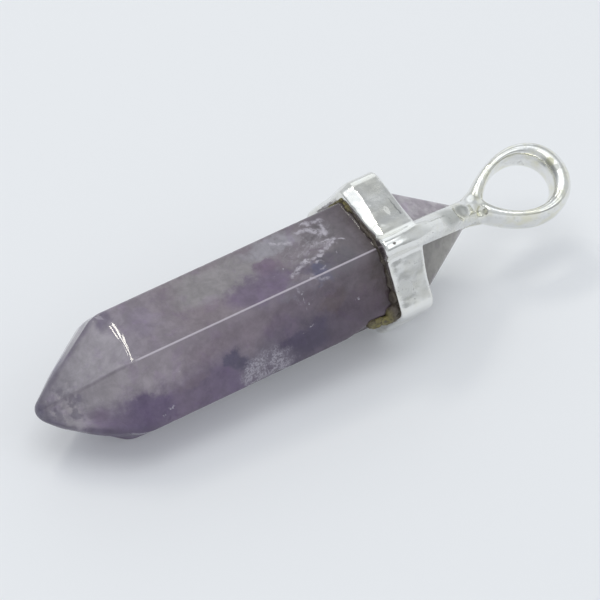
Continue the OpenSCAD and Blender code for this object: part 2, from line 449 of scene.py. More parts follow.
def strap_field(x, y, z):
    """Both straps: flat over the collar, then down over the upper point to the neck."""
    x, y, behind = np.abs(x), np.abs(y), z - COLLAR_BACK
    slope_len = STRAP_END - COLLAR_BACK
    fall_top = (STRAP_TOP - STRAP_END_TOP) / slope_len
    fall_root = (STRAP_ROOT - STRAP_END_ROOT) / slope_len
    tops = np.minimum(STRAP_TOP, STRAP_TOP - fall_top * behind)
    roots = np.minimum(STRAP_ROOT, STRAP_ROOT - fall_root * behind)
    crowned = y + STRAP_CROWN * x ** 2 - STRAP_TOP
    sloped = (crowned + fall_top * behind) / math.hypot(1, fall_top)
    root = (roots - y) / math.hypot(1, fall_root)
    lean = (STRAP_WIDTH - STRAP_FACE) / 2 / (tops - roots)
    sides = (x - STRAP_FACE / 2 - lean * (tops - y)) / np.sqrt(1 + lean * lean)
    body = round_max(round_max(crowned, sloped, STRAP_BEND_R), sides, STRAP_EDGE_R)
    body = round_max(body, root, 0.05)
    body = round_max(body, STRAP_FOOT - z, STRAP_EDGE_R)
    return round_max(body, z - STRAP_END - STRAP_REACH, 0.2)


def tear(start, length, width, pinch, count=360):
    """Outline that is pointed at start and round at start + length."""
    a = np.linspace(0, 2 * math.pi, count, endpoint=False)
    shape = np.sin(a) * np.abs(np.sin(a / 2)) ** pinch
    widest = math.acos(-pinch / (2 + pinch))
    widest = math.sin(widest) * math.sin(widest / 2) ** pinch
    return np.stack([width / 2 * shape / widest, start + length / 2 * (1 - np.cos(a))], axis=1)


def outline_distance(outline, t, s):
    """Signed distance on the grid t by s to a closed outline, negative inside."""
    px, py = np.meshgrid(t, s, indexing="ij")
    best = np.full(px.shape, 1e9)
    inside = np.zeros(px.shape, bool)
    for (x0, y0), (x1, y1) in zip(outline, np.roll(outline, -1, axis=0)):
        dx, dy = x1 - x0, y1 - y0
        k = np.clip(((px - x0) * dx + (py - y0) * dy) / (dx * dx + dy * dy + 1e-12), 0, 1)
        best = np.minimum(best, np.hypot(px - x0 - k * dx, py - y0 - k * dy))
        if y0 != y1:
            crosses = ((y0 > py) != (y1 > py)) & (px < x0 + (py - y0) * dx / dy)
            inside ^= crosses
    return np.where(inside, -best, best)


def from_grid(values, t, s, at_t, at_s):
    """Values of a regular grid, read between its points."""
    step = t[1] - t[0]
    i = np.clip((at_t - t[0]) / step, 0, len(t) - 1.001)
    k = np.clip((at_s - s[0]) / step, 0, len(s) - 1.001)
    i0, k0 = i.astype(int), k.astype(int)
    share_i, share_k = i - i0, k - k0
    low = values[i0, k0] * (1 - share_k) + values[i0, k0 + 1] * share_k
    high = values[i0 + 1, k0] * (1 - share_k) + values[i0 + 1, k0 + 1] * share_k
    return low * (1 - share_i) + high * share_i


def bail_field(x, y, z):
    """Band round the teardrop eye, with a rounded section, twisted and a little bent."""
    t, h = turned(-x - BAIL_OFFSET, y, BAIL_TWIST)
    t, s = turned(t, z - BAIL_PIVOT, BAIL_BEND)
    s = s + BAIL_PIVOT
    eye = tear(EYE_FRONT, EYE_LEN, EYE_WIDTH, EYE_PINCH)
    band = tear(EYE_FRONT - BAND_ROOT, BAND_ROOT + EYE_LEN + BAND_END, BAND_OUTER, BAND_PINCH)
    grid_t, grid_s = np.arange(-6.5, 6.5, OUTLINE_CELL), np.arange(30.5, 42.5, OUTLINE_CELL)
    in_eye = from_grid(outline_distance(eye, grid_t, grid_s), grid_t, grid_s, t, s)
    in_band = from_grid(outline_distance(band, grid_t, grid_s), grid_t, grid_s, t, s)
    thick = np.maximum(in_eye - in_band, 0.3)
    widening = smooth(s, EYE_FRONT, EYE_FRONT + 0.6 * EYE_LEN)
    half = BAND_HALF_NECK + (BAND_HALF_END - BAND_HALF_NECK) * widening
    across, along = np.abs(in_eye + in_band) / thick, np.abs(h) / half
    section = (across ** BAND_SQUARENESS + along ** BAND_SQUARENESS) ** (1 / BAND_SQUARENESS)
    return (section - 1) * np.minimum(thick / 2, 0.8)


def cap_field(x, y, z):
    """The whole casting: collar, straps, bail, and the pits and ridge of the neck."""
    cap = round_min(collar_field(x, y, z), strap_field(x, y, z), 0.10)
    cap = round_min(cap, bail_field(x, y, z), BAIL_BLEND)
    for centre, radii in NECK_PITS:
        cap = round_max(cap, -ball(x, y, z, centre, radii), 0.18)
    return round_min(cap, ball(x, y, z, *NECK_RIDGE), 0.08)


def cast_cap():
    """Cap with a casting's unevenness: most at the collar's front edge, little on its front side."""
    points, faces = field_mesh(cap_field, (-5.6, -6.3, 23.6), (5.7, 6.3, 40.9), CAP_CELL)
    lead = points[:, 2] - collar_front(points[:, 0], points[:, 1])
    front_side = smooth(towards(points[:, 0], points[:, 1], 30), 4.1, 4.6)
    uneven = ((1 - smooth(lead, 0.5, 1.3)) * (1 - 0.7 * front_side))[:, None]
    moved = points + (0.007 + 0.027 * uneven) * shoves(points, 0.9)
    moved += (0.002 + 0.014 * uneven) * shoves(points, 0.35)
    mesh_piece("cast_cap", moved, faces, silver(), "setting")


# Cement

# Lumps of surplus cement under the collar's lower corner: centre and radii
CEMENT_LUMPS = (((-4.05, 1.75, 24.2), (0.40, 0.85, 0.75)), ((-4.0, 1.95, 23.2), (0.32, 0.62, 0.55)),
                ((-3.9, 2.2, 22.7), (0.26, 0.40, 0.35)), ((-3.75, 2.55, 24.3), (0.35, 0.35, 0.5)),
                ((-3.0, 3.1, 24.5), (0.35, 0.45, 0.22)))


def cement_field(x, y, z):
    """Ring in the gap, standing out in front of the collar, with lumps at the lower corner."""
    a = np.arctan2(y, x)
    lead = 0.14 + 0.07 * np.sin(5 * a + 1.0) + 0.05 * np.sin(13 * a) + 0.04 * np.sin(29 * a + 2.0)
    outer = six_sided(x, y, COLLAR_BORE / 2 + 0.05)
    ring = round_max(outer, -six_sided(x, y, STONE_HALF - 0.12), 0.02)
    ring = round_max(ring, collar_front(x, y) - lead - z, 0.08)
    ring = np.maximum(ring, z - STONE_HIGH + 0.3)
    for centre, radii in CEMENT_LUMPS:
        ring = round_min(ring, ball(x, y, z, centre, radii), 0.12)
    return ring


def cement_fill():
    points, faces = field_mesh(cement_field, (-5.4, -4.9, 21.9), (5.0, 5.0, 26.6), CEMENT_CELL)
    moved = points + 0.07 * shoves(points, 0.35) + 0.03 * shoves(points, 0.14)
    mesh_piece("cement_fill", moved, faces, cement(), "cement")


# Materials


def linear(r, g, b):
    """Linear colour from the 0 to 255 values that a screen shows."""
    shares = [c / 255 for c in (r, g, b)]
    return tuple(((c + 0.055) / 1.055) ** 2.4 if c > 0.04 else c / 12.92 for c in shares)


def as_colour(value):
    """Colour socket as it is, or a screen colour as a shader's colour."""
    return value if isinstance(value, bpy.types.NodeSocket) else (*linear(*value), 1)


class Shader:
    """A material's nodes: a Principled shader, and the pendant's own-frame place."""

    def __init__(self, name):
        self.material = bpy.data.materials.new(name)
        self.material.use_nodes = True
        self.tree = self.material.node_tree
        self.shader = self.tree.nodes["Principled BSDF"]
        attribute = self.add("Attribute")
        attribute.attribute_name = "own_place"
        self.place = attribute.outputs["Vector"]

    def add(self, kind):
        return self.tree.nodes.new("ShaderNode" + kind)

    def put(self, socket, value):
        if isinstance(value, bpy.types.NodeSocket):
            self.tree.links.new(value, socket)
        else:
            socket.default_value = value

    def set(self, name, value):
        self.put(self.shader.inputs[name], value)

    def math(self, operation, a, b=0.0, clamp=False):
        node = self.add("Math")
        node.operation = operation
        node.use_clamp = clamp
        self.put(node.inputs[0], a)
        self.put(node.inputs[1], b)
        return node.outputs[0]

    def times(self, a, b):
        return self.math("MULTIPLY", a, b)

    def most(self, a, b):
        return self.math("MAXIMUM", a, b)

    def vector(self, operation, a, b=(0, 0, 0)):
        node = self.add("VectorMath")
        node.operation = operation
        self.put(node.inputs[0], a)
        self.put(node.inputs[1], b)
        return node.outputs["Value" if operation in ("LENGTH", "DOT_PRODUCT") else "Vector"]

    def scaled(self, vector, share):
        scale = self.vector("SCALE", vector)
        self.put(scale.node.inputs["Scale"], share)
        return scale

    def parts(self, vector):
        node = self.add("SeparateXYZ")
        self.put(node.inputs[0], vector)
        return node.outputs

    def texture(self, scale, detail, roughness, distortion=0.0, place=None):
        node = self.add("TexNoise")
        self.put(node.inputs["Vector"], place or self.place)
        node.inputs["Scale"].default_value = 1 / scale
        node.inputs["Detail"].default_value = detail
        node.inputs["Roughness"].default_value = roughness
        node.inputs["Distortion"].default_value = distortion
        return node.outputs

    def noise(self, scale, detail=3.0, roughness=0.55, distortion=0.0, place=None):
        """Noise of 0 to 1 with lumps of about this size in millimetres."""
        return self.texture(scale, detail, roughness, distortion, place)["Fac"]

    def warped(self, size, amount, detail=3.0, roughness=0.5):
        """Own-frame place, pushed about by noise, for ragged patches."""
        push = self.texture(size, detail, roughness)["Color"]
        push = self.vector("SUBTRACT", push, (0.5, 0.5, 0.5))
        return self.vector("ADD", self.place, self.scaled(push, amount))

    def step(self, value, low, high, to_low=0.0, to_high=1.0, eased=True):
        """Value remapped from low and high to to_low and to_high, and held beyond them."""
        node = self.add("MapRange")
        node.interpolation_type = "SMOOTHSTEP" if eased else "LINEAR"
        self.put(node.inputs["Value"], value)
        node.inputs["From Min"].default_value = low
        node.inputs["From Max"].default_value = high
        node.inputs["To Min"].default_value = to_low
        node.inputs["To Max"].default_value = to_high
        return node.outputs["Result"]

    def mix(self, share, a, b):
        """Mix of two colours, each a socket or a screen colour."""
        node = self.add("Mix")
        node.data_type = "RGBA"
        self.put(node.inputs["Factor"], share)
        self.put(node.inputs["A"], as_colour(a))
        self.put(node.inputs["B"], as_colour(b))
        return node.outputs["Result"]

    def tint(self, colour, share, strength, screen):
        """Colour with a screen colour laid over it where the share is 1."""
        return self.mix(self.times(share, strength), colour, screen)

    def ramp(self, place, stops):
        """Colour along the axis, from stops of a place and a screen colour."""
        low, high = stops[0][0], stops[-1][0]
        node = self.add("ValToRGB")
        self.put(node.inputs["Fac"], self.step(place, low, high, eased=False))
        elements = node.color_ramp.elements
        elements.remove(elements[0])
        for i, (at, colour) in enumerate(stops):
            share = (at - low) / (high - low)
            element = elements[0] if i == 0 else elements.new(share)
            element.position = share
            element.color = as_colour(colour)
        return node.outputs["Color"]

    def spot(self, place, centre, radii, soft=0.5):
        """1 inside an ellipsoid of these radii, fading to 0 at its skin."""
        off = self.vector("SUBTRACT", place, tuple(centre))
        off = self.vector("DIVIDE", off, radii)
        return self.step(self.vector("LENGTH", off), 1 - soft, 1.0, 1.0, 0.0)

    def line(self, place, start, end, half):
        """1 along the middle of a line, fading to 0 at half its width."""
        way = Vector(end) - Vector(start)
        off = self.vector("SUBTRACT", place, tuple(start))
        along = self.vector("DOT_PRODUCT", off, way)
        foot = self.scaled(way, self.math("MULTIPLY", along, 1 / way.length_squared, clamp=True))
        distance = self.vector("LENGTH", self.vector("SUBTRACT", off, foot))
        return self.step(distance, 0.1 * half, half, 1.0, 0.0)

    def bump(self, height, strength, distance):
        node = self.add("Bump")
        node.inputs["Strength"].default_value = strength
        node.inputs["Distance"].default_value = distance * MM
        self.put(node.inputs["Height"], height)
        self.put(self.shader.inputs["Normal"], node.outputs["Normal"])


# Colour of the stone along its axis, as the screen shows it: place and colour, on the upper side,
# and on the front side beside its upper and its lower edge. The darker, browner stops next to the
# collar are painted shade, with the brown of the cement seen through the stone
UPPER_TONES = (
    (0.8, (102, 96, 111)), (2.2, (134, 129, 138)), (4.5, (150, 145, 152)), (6.0, (152, 146, 154)),
    (7.0, (136, 129, 139)), (12.0, (128, 119, 126)), (17.0, (128, 119, 127)),
    (22.2, (116, 110, 115)), (23.6, (104, 97, 103)), (24.6, (84, 76, 78)))
FRONT_TONES = (
    (0.8, (118, 112, 126)), (2.2, (150, 144, 152)), (5.0, (151, 144, 150)), (8.5, (148, 139, 147)),
    (10.5, (132, 121, 131)), (15.0, (128, 117, 127)), (17.5, (112, 101, 113)),
    (22.0, (104, 95, 103)), (23.6, (98, 88, 94)), (24.6, (70, 60, 58)))
LOWER_TONES = (
    (0.8, (112, 106, 120)), (2.4, (146, 138, 148)), (4.2, (118, 106, 126)), (5.5, (104, 90, 116)),
    (9.0, (108, 95, 115)), (12.5, (102, 90, 112)), (14.5, (116, 108, 120)), (17.0, (84, 76, 94)),
    (20.0, (88, 78, 92)), (23.6, (90, 79, 88)), (24.6, (64, 55, 53)))
# Painted shade on the underside of the lower point
UNDER_SHADE_TONE = (84, 74, 96)
# The upper point, on its shaded side along the axis, and on its lit side with clouds
SHADED_CROWN_TONES = ((27.0, (124, 121, 118)), (29.0, (144, 141, 137)), (31.0, (170, 167, 162)),
                      (32.5, (190, 189, 183)))
LIT_CROWN_TONE, LIT_CROWN_CLOUD = (166, 160, 166), (138, 130, 138)
# Clouds in the stone: side, distance across it, place along the axis, radius across and along,
# colour on the screen and strength
CLOUDS = (
    (5, -0.7, 14.3, 1.9, 4.4, (143, 140, 142), 0.75),
    (5, -0.2, 8.5, 1.4, 1.4, (134, 125, 140), 0.7),
    (5, 1.3, 16.4, 1.5, 3.1, (110, 98, 119), 0.85),
    (5, 0.0, 17.5, 0.9, 1.2, (114, 99, 117), 0.8),
    (5, -1.4, 18.6, 1.1, 2.4, (148, 146, 153), 0.8),
    (5, 0.6, 19.6, 1.3, 1.6, (118, 112, 118), 0.7),
    (5, 1.9, 20.5, 0.8, 1.1, (92, 91, 112), 0.9),
    (5, 1.5, 22.0, 1.1, 1.5, (98, 94, 101), 0.85),
    (5, -0.9, 22.0, 1.3, 1.6, (100, 95, 100), 0.7),
    (5, 1.3, 19.6, 0.8, 0.9, (100, 94, 104), 0.7),
    (0, 1.2, 6.6, 1.3, 2.2, (96, 82, 110), 0.85),
    (0, 0.9, 13.3, 0.95, 1.15, (84, 78, 98), 0.95),
    (0, 0.0, 16.6, 1.2, 1.5, (104, 91, 110), 0.5),
    (0, 1.4, 18.2, 1.2, 2.2, (77, 69, 90), 0.8),
    (0, 0.9, 10.0, 0.7, 1.4, (116, 103, 116), 0.7),
    (0, -0.3, 20.6, 1.2, 1.6, (92, 80, 84), 0.7),
    (0, -2.0, 18.4, 0.7, 1.6, (120, 114, 126), 0.6),
)
# Haze in the lower point: centre in the pendant's own frame, radii, colour and strength
TIP_CLOUDS = (
    ((-0.9, 1.9, 2.4), (0.8, 0.8, 0.7), (158, 151, 156), 0.8),
    ((0.5, 1.2, 1.9), (0.5, 0.5, 0.5), (148, 143, 150), 0.8),
    ((-0.4, 1.9, 3.1), (0.6, 0.6, 0.5), (118, 112, 126), 0.7),
    ((-1.9, 2.2, 3.7), (0.8, 0.8, 0.9), (118, 102, 124), 0.8),
    ((2.2, 0.4, 3.0), (0.8, 0.8, 2.0), (116, 110, 130), 0.8),
    ((1.5, 0.6, 2.2), (0.8, 0.8, 1.3), (114, 108, 122), 0.6),
    ((-1.7, 1.2, 2.8), (0.9, 0.9, 0.8), (160, 152, 160), 0.6),
    ((3.5, 2.4, 6.5), (0.9, 0.9, 0.9), (102, 94, 112), 0.7),
    ((0.0, 0.1, 0.9), (0.8, 0.8, 0.7), (98, 93, 112), 0.8),
)
# Lumps in the blunt end, pale and dark: centre, radii
LUMPS_CENTRE, LUMPS_RADII = (-0.4, 1.5, 2.3), (2.1, 1.6, 1.8)
# Painted dark reflections along the edges of the lower point: turn from the first corner, half
# width, strength and colour
TIP_EDGE_DARK_REFLECTIONS = ((0, 0.22, 0.55, (108, 101, 112)), (-60, 0.42, 0.6, (98, 90, 108)),
             (60, 0.3, 0.5, (92, 82, 108)))
# Feathery wisps: side, distance across, place along, radius across and along
WISPS = ((5, -0.9, 21.6, 1.6, 1.7), (5, 0.0, 20.4, 1.3, 2.2), (5, -1.3, 19.2, 0.7, 1.3),
         (0, -2.1, 20.0, 0.6, 0.9), (0, -1.5, 18.4, 0.8, 0.8))
# Pale strokes inside the stone: side, distance across and place along of both ends, half width
STROKES = (((5, -1.5, 20.7), (5, -1.3, 21.5), 0.30), ((5, -1.3, 21.5), (5, -0.5, 22.3), 0.32),
           ((5, -1.9, 21.3), (5, -1.6, 22.5), 0.22), ((5, -1.6, 22.5), (5, -0.6, 22.3), 0.30),
           ((5, 0.0, 21.4), (5, 0.2, 22.5), 0.24), ((5, 0.2, 22.5), (5, 0.5, 23.1), 0.12),
           ((5, 0.5, 21.3), (5, 0.4, 22.4), 0.22), ((5, 1.5, 18.5), (5, 1.1, 19.3), 0.18),
           ((5, 1.1, 19.3), (5, 0.9, 20.1), 0.24), ((5, 0.9, 20.1), (5, 0.9, 20.9), 0.22),
           ((5, 0.9, 20.9), (5, 0.6, 21.4), 0.18), ((5, 1.0, 20.2), (5, 1.8, 21.4), 0.11),
           ((5, 1.9, 20.1), (5, 1.8, 20.9), 0.12), ((5, -1.5, 18.8), (5, -1.0, 19.9), 0.26),
           ((5, 0.9, 17.4), (5, 0.6, 18.4), 0.08), ((0, -2.1, 18.4), (0, -1.7, 18.6), 0.12),
           ((0, -1.7, 18.6), (0, -0.5, 18.7), 0.09), ((0, -0.9, 19.4), (0, -0.7, 18.9), 0.08),
           ((5, 2.2, 19.5), (0, -1.7, 20.6), 0.13))
# Small white flaws: side, distance across, place along, radius across and along
FLAWS = ((5, 1.2, 22.1, 0.16, 0.05), (0, 0.5, 19.3, 0.05, 0.06), (0, 0.75, 18.6, 0.08, 0.22),
         (0, 1.0, 18.0, 0.05, 0.1), (0, -1.2, 18.6, 0.35, 0.05), (0, -0.7, 18.9, 0.2, 0.06),
         (0, 0.4, 22.2, 0.12, 0.18), (0, -0.3, 9.3, 0.05, 0.12), (0, 1.75, 8.1, 0.18, 0.35),
         (0, 2.0, 7.4, 0.10, 0.2), (5, -1.8, 21.1, 0.06, 0.1))
WISP_TONE, STROKE_TONE, FLAW_TONE = (176, 171, 180), (182, 177, 187), (182, 178, 188)
# Direction in which the wisps' strokes lean
WISP_LEAN = (0.40, -0.26, 0.88)
AMETHYST_IOR = 1.54


def stone_tones(s, ragged):
    """Large changes of colour along the stone, by side, with painted shade next to the collar and on
    the underside of the lower point.
    """
    there, own = s.parts(ragged), s.parts(s.place)
    angle = s.math("ARCTAN2", there["Y"], there["X"])
    own_angle = s.math("ARCTAN2", own["Y"], own["X"])

    def past(value, low, high):
        return s.step(value, math.radians(FIRST_CORNER + low), math.radians(FIRST_CORNER + high))

    front = past(own_angle, -2, 2)
    lower = past(angle, 18, 48)
    back = s.step(angle, math.radians(-150), math.radians(-100), 1.0, 0.0)
    back = s.times(back, s.math("LESS_THAN", angle, 0.0))
    along = there["Z"]
    colour = s.mix(front, s.ramp(along, UPPER_TONES), s.ramp(along, FRONT_TONES))
    colour = s.mix(s.most(lower, back), colour, s.ramp(along, LOWER_TONES))
    # Painted shade on the underside of the lower point, fading out along the axis
    under_shade = s.times(past(own_angle, 58, 63), s.step(own["Z"], 6.0, 9.0, 1.0, 0.0))
    return s.tint(colour, under_shade, 0.7, UNDER_SHADE_TONE)


def lower_point(s, colour):
    """Haze, lumps at the blunt end and painted dark reflections along the edges of the lower point.
    """
    drifting = s.warped(0.7, 1.0)
    for centre, radii, screen, strength in TIP_CLOUDS:
        colour = s.tint(colour, s.spot(drifting, centre, radii, 0.7), strength, screen)
    lumpy = s.spot(s.warped(0.5, 0.6), LUMPS_CENTRE, LUMPS_RADII, 0.6)
    lumps = s.noise(0.75, 3.0, 0.55, 0.2)
    pale = s.times(lumpy, s.step(lumps, 0.50, 0.64))
    dark = s.times(lumpy, s.step(lumps, 0.36, 0.49, 1.0, 0.0))
    colour = s.tint(colour, pale, 0.75, (166, 160, 165))
    colour = s.tint(colour, dark, 0.65, (104, 98, 112))
    # Painted dark reflections along the point's edges
    for turn, half, strength, screen in TIP_EDGE_DARK_REFLECTIONS:
        low, high = (*spoke(turn, 0.9), 1.1), (*spoke(turn, 4.4), 6.0)
        colour = s.tint(colour, s.line(s.warped(0.5, 0.15), low, high, half), strength, screen)
    return colour


def upper_point(s, colour, own):
    """The upper point behind the collar, paler on its lit side."""
    cloudy = s.step(s.noise(1.2, 4.0, 0.6, 0.4), 0.42, 0.60, 0.0, 0.8)
    lit = s.mix(cloudy, LIT_CROWN_TONE, LIT_CROWN_CLOUD)
    crown = s.mix(s.step(own["X"], -1.0, 1.5), s.ramp(own["Z"], SHADED_CROWN_TONES), lit)
    return s.mix(s.step(own["Z"], 26.5, 27.5), colour, crown)


def hazy(s, colour):
    """Violet veils, and changes of light and dark of about 1 mm and 0.3 mm."""
    violet = s.vector("MULTIPLY", colour, (0.95, 0.87, 1.02))
    colour = s.mix(s.step(s.noise(1.1, 5.0, 0.62, 0.5), 0.50, 0.66, 0.0, 0.5), colour, violet)
    wide = s.step(s.noise(1.0, 5.0, 0.65, 0.3), 0.32, 0.68, 0.87, 1.12)
    small = s.step(s.noise(0.3, 4.0, 0.6), 0.32, 0.68, 0.965, 1.035)
    return s.scaled(colour, s.times(wide, small))


def feathers(s, ragged, fine):
    """Clumps of fine strokes that all lean one way."""
    combed = s.scaled(WISP_LEAN, s.times(s.vector("DOT_PRODUCT", fine, WISP_LEAN), -0.72))
    strokes = s.step(s.noise(0.24, 6.0, 0.66, 0.5, s.vector("ADD", fine, combed)), 0.46, 0.66)
    clumps = s.step(s.noise(0.9, 6.0, 0.62, 0.4, ragged), 0.42, 0.60)
    return s.times(clumps, s.math("ADD", s.times(strokes, 0.7), 0.3))


def wisps(s, colour, ragged, crumbs):
    """Feathery patches, pale strokes and small white flaws laid over the stone's colour."""
    fine = s.warped(0.5, 0.5)
    feathered = feathers(s, ragged, fine)
    for side, across, place, wide, long in WISPS:
        share = s.spot(ragged, on_side(side, across, place), (wide, wide, long), 0.8)
        colour = s.tint(colour, s.times(share, feathered), 0.6, WISP_TONE)
    broken = s.step(s.noise(0.35, 5.0, 0.65, 0.6, fine), 0.36, 0.60, 0.1, 1.0)
    frayed = s.warped(0.6, 0.75)
    for start, end, half in STROKES:
        share = s.line(frayed, on_side(*start), on_side(*end), half)
        colour = s.tint(colour, s.times(share, broken), 0.85, STROKE_TONE)
    torn = s.warped(0.22, 0.45)
    for side, across, place, wide, long in FLAWS:
        share = s.spot(torn, on_side(side, across, place), (wide, wide, long), 0.7)
        colour = s.tint(colour, s.times(share, crumbs), 0.8, FLAW_TONE)
    return colour


def frosty_chip(s, colour, crumbs):
    """Colour with the frosty chip on the lower edge, and where its white crumbs are."""
    chip = s.spot(s.warped(0.8, 1.5), CHIP, (1.4, 1.4, 2.4), 0.5)
    clumps = s.times(chip, s.step(s.noise(0.6, 5.0, 0.65), 0.38, 0.56))
    frost = s.times(clumps, crumbs)
    colour = s.tint(colour, chip, 0.45, (110, 104, 117))
    colour = s.tint(colour, clumps, 0.4, (146, 141, 152))
    return s.tint(colour, frost, 0.7, (168, 163, 175)), frost


def edge_wear_and_highlight(s, colour, along):
    """Colour with the pale line along the edge between the upper and front sides, partly wear and
    partly a painted highlight, and a painted sheen beside it on the front side; and where that line
    is.
    """
    corner = (STONE_HALF - EDGE_RADII[0]) / math.cos(math.pi / 6) + EDGE_RADII[0]
    flat = s.vector("MULTIPLY", s.place, (1, 1, 0))
    distance = s.vector("LENGTH", s.vector("SUBTRACT", flat, (*spoke(0, corner), 0)))
    front_side = s.step(s.vector("DOT_PRODUCT", s.place, (*spoke(-90), 0)), 0.1, -0.1)
    # Pale band beside the edge on the front side: painted spill of the edge's highlight
    highlight_spill = s.times(s.step(distance, 0.1, 1.1, 1, 0), s.step(along, 6.0, 8.0))
    colour = s.tint(colour, s.times(highlight_spill, front_side), 0.30, (156, 148, 156))
    # Pale line on the edge: wear, with a painted highlight
    edge = s.times(s.step(distance, 0.03, 0.09, 1, 0), s.step(along, 6.6, 7.0))
    return s.tint(colour, edge, 0.8, (192, 184, 194)), edge


def amethyst():
    s = Shader("amethyst")
    own = s.parts(s.place)
    ragged = s.warped(1.7, 2.9, 7.0, 0.66)
    colour = stone_tones(s, ragged)
    for side, across, place, wide, long, screen, strength in CLOUDS:
        share = s.spot(ragged, on_side(side, across, place), (wide, wide, long), 0.5)
        colour = s.tint(colour, share, strength, screen)
    colour = upper_point(s, lower_point(s, colour), own)
    crumbs = s.step(s.noise(0.15, 4.0, 0.65), 0.42, 0.60)
    colour = wisps(s, hazy(s, colour), ragged, crumbs)
    colour, frost = frosty_chip(s, colour, crumbs)
    colour, edge = edge_wear_and_highlight(s, colour, own["Z"])
    s.set("Base Color", colour)
    below = s.most(s.spot(s.place, (-5.0, -0.6, 12.0), (2.9, 2.9, 40.0)),
                   s.spot(s.place, (-2.9, 1.3, 4.4), (1.3, 1.3, 2.8)))
    rough = s.most(s.most(frost, below), s.times(edge, 0.6))
    s.set("Roughness", s.step(rough, 0.0, 1.0, 0.05, 0.5))
    s.set("IOR", AMETHYST_IOR)
    return s.material


# Silver as the screen shows it: plain, warm, dull, the painted dark reflection on the strap's foot,
# and specks
SILVER, WARM_SILVER, DULL_SILVER = (238, 238, 236), (233, 231, 214), (178, 180, 180)
FOOT_DARK_REFLECTION_TONE, SPECK_TONE = (92, 82, 76), (132, 134, 135)
# Tarnished places of the cap, and places of painted shade: centre, radii, strength and tone
# The first spot is painted shade in the neck's pit, made rough like tarnish
TARNISH_AND_SHADE_SPOTS = (((0.30, 2.18, 31.95), (0.62, 0.7, 0.78), 0.9, (166, 167, 164)),
             # Painted darker reflection on the strap's slope
             ((0.1, 3.2, 30.5), (1.0, 1.3, 2.0), 0.8, (192, 193, 190)),
             ((-2.8, 3.8, 25.2), (0.8, 0.8, 0.7), 0.3, (192, 193, 188)),
             ((0.75, 0.98, 39.5), (0.5, 0.4, 0.4), 0.8, (176, 176, 150)),
             ((0.2, 1.1, 39.58), (0.4, 0.4, 0.4), 0.7, (150, 152, 148)),
             ((-0.83, 2.50, 31.42), (0.22, 0.22, 0.22), 0.8, (150, 146, 100)),
             ((0.0, 5.85, 25.1), (0.14, 0.14, 0.14), 0.9, (84, 78, 74)),
             # Painted shadow beside the neck's ridge
             ((-0.34, 1.10, 33.4), (0.24, 0.3, 0.2), 0.6, (172, 174, 164)),
             ((2.2, 4.2, 26.3), (0.5, 0.4, 0.2), 0.5, (176, 178, 180)))
# Dark lines of the cap: both ends, half width, strength and tone. The two on the strap are painted
# shade in a crease along its top; the third runs along the collar's back edge
DARK_CAP_LINES = (((0.10, 5.85, 26.7), (0.41, 5.17, 27.97), 0.11, 0.7, (150, 150, 146)),
                 ((0.41, 5.17, 27.97), (0.37, 3.49, 30.2), 0.13, 0.75, (158, 158, 152)),
                 ((1.62, 4.56, 26.9), (3.3, 3.46, 26.9), 0.09, 0.6, (150, 152, 154)))


def silver_tone(s, calm):
    """Pale silver, warmer towards the bail, with dull patches and a painted dark reflection on the
    strap's foot.
    """
    towards_bail = s.step(s.parts(s.place)["Z"], 29.0, 33.0, 0.3, 1.0)
    warm = s.times(s.step(s.noise(1.3, 4.0, 0.6), 0.40, 0.68), towards_bail)
    colour = s.mix(warm, SILVER, WARM_SILVER)
    dull = s.times(s.step(s.noise(0.45, 6.0, 0.7), 0.56, 0.72), calm)
    colour = s.tint(colour, dull, 0.35, DULL_SILVER)
    # Painted dark reflection on the front end of the strap's foot
    foot = s.spot(s.warped(0.4, 0.3), (0.2, 4.9, 24.3), (1.1, 0.95, 0.28), 0.4)
    return s.tint(colour, foot, 0.85, FOOT_DARK_REFLECTION_TONE)


def tarnish_and_painted_shade(s, colour, uneven):
    """Colour with the tarnished places, the painted shade and the dark lines, and how dulled each
    place is.
    """
    tarnish_and_shade_share = 0.0
    for centre, radii, strength, screen in TARNISH_AND_SHADE_SPOTS:
        share = s.spot(uneven, centre, radii, 0.6)
        tarnish_and_shade_share = s.most(share, tarnish_and_shade_share)
        colour = s.tint(colour, share, strength, screen)
    # Dark lines: painted crease shade on the strap, and a line along the collar's back edge
    for start, end, half, strength, screen in DARK_CAP_LINES:
        colour = s.tint(colour, s.line(uneven, start, end, half), strength, screen)
    return colour, tarnish_and_shade_share


def silver():
    s = Shader("cast_silver")
    uneven = s.warped(0.3, 0.2)
    front_side = s.vector("DOT_PRODUCT", s.place, (*spoke(30), 0))
    calm = s.step(front_side, 3.2, 4.2, 1.0, 0.15)
    colour, tarnish_and_shade_share = tarnish_and_painted_shade(s, silver_tone(s, calm), uneven)
    pitted = s.most(s.step(s.noise(0.9, 3.0, 0.5), 0.50, 0.62),
                    s.spot(uneven, (2.3, 4.2, 26.2), (1.3, 1.0, 0.9), 0.6))
    specks = s.times(s.step(s.noise(0.11, 3.0, 0.6), 0.58, 0.66), pitted)
    s.set("Base Color", s.tint(colour, specks, 0.55, SPECK_TONE))
    s.set("Metallic", 1.0)
    rough = s.step(s.noise(0.8, 4.0, 0.6), 0.35, 0.7, 0.13, 0.25)
    rough = s.math("ADD", rough, s.times(specks, 0.2))
    s.set("Roughness", s.math("ADD", rough, s.times(tarnish_and_shade_share, 0.3)))
    dents = s.step(s.noise(0.75, 3.0, 0.55, 0.3), 0.50, 0.60, 0.0, 0.5)
    s.bump(s.times(calm, s.math("ADD", s.noise(0.35, 4.0, 0.55), dents)), 0.25, 0.018)
    return s.material


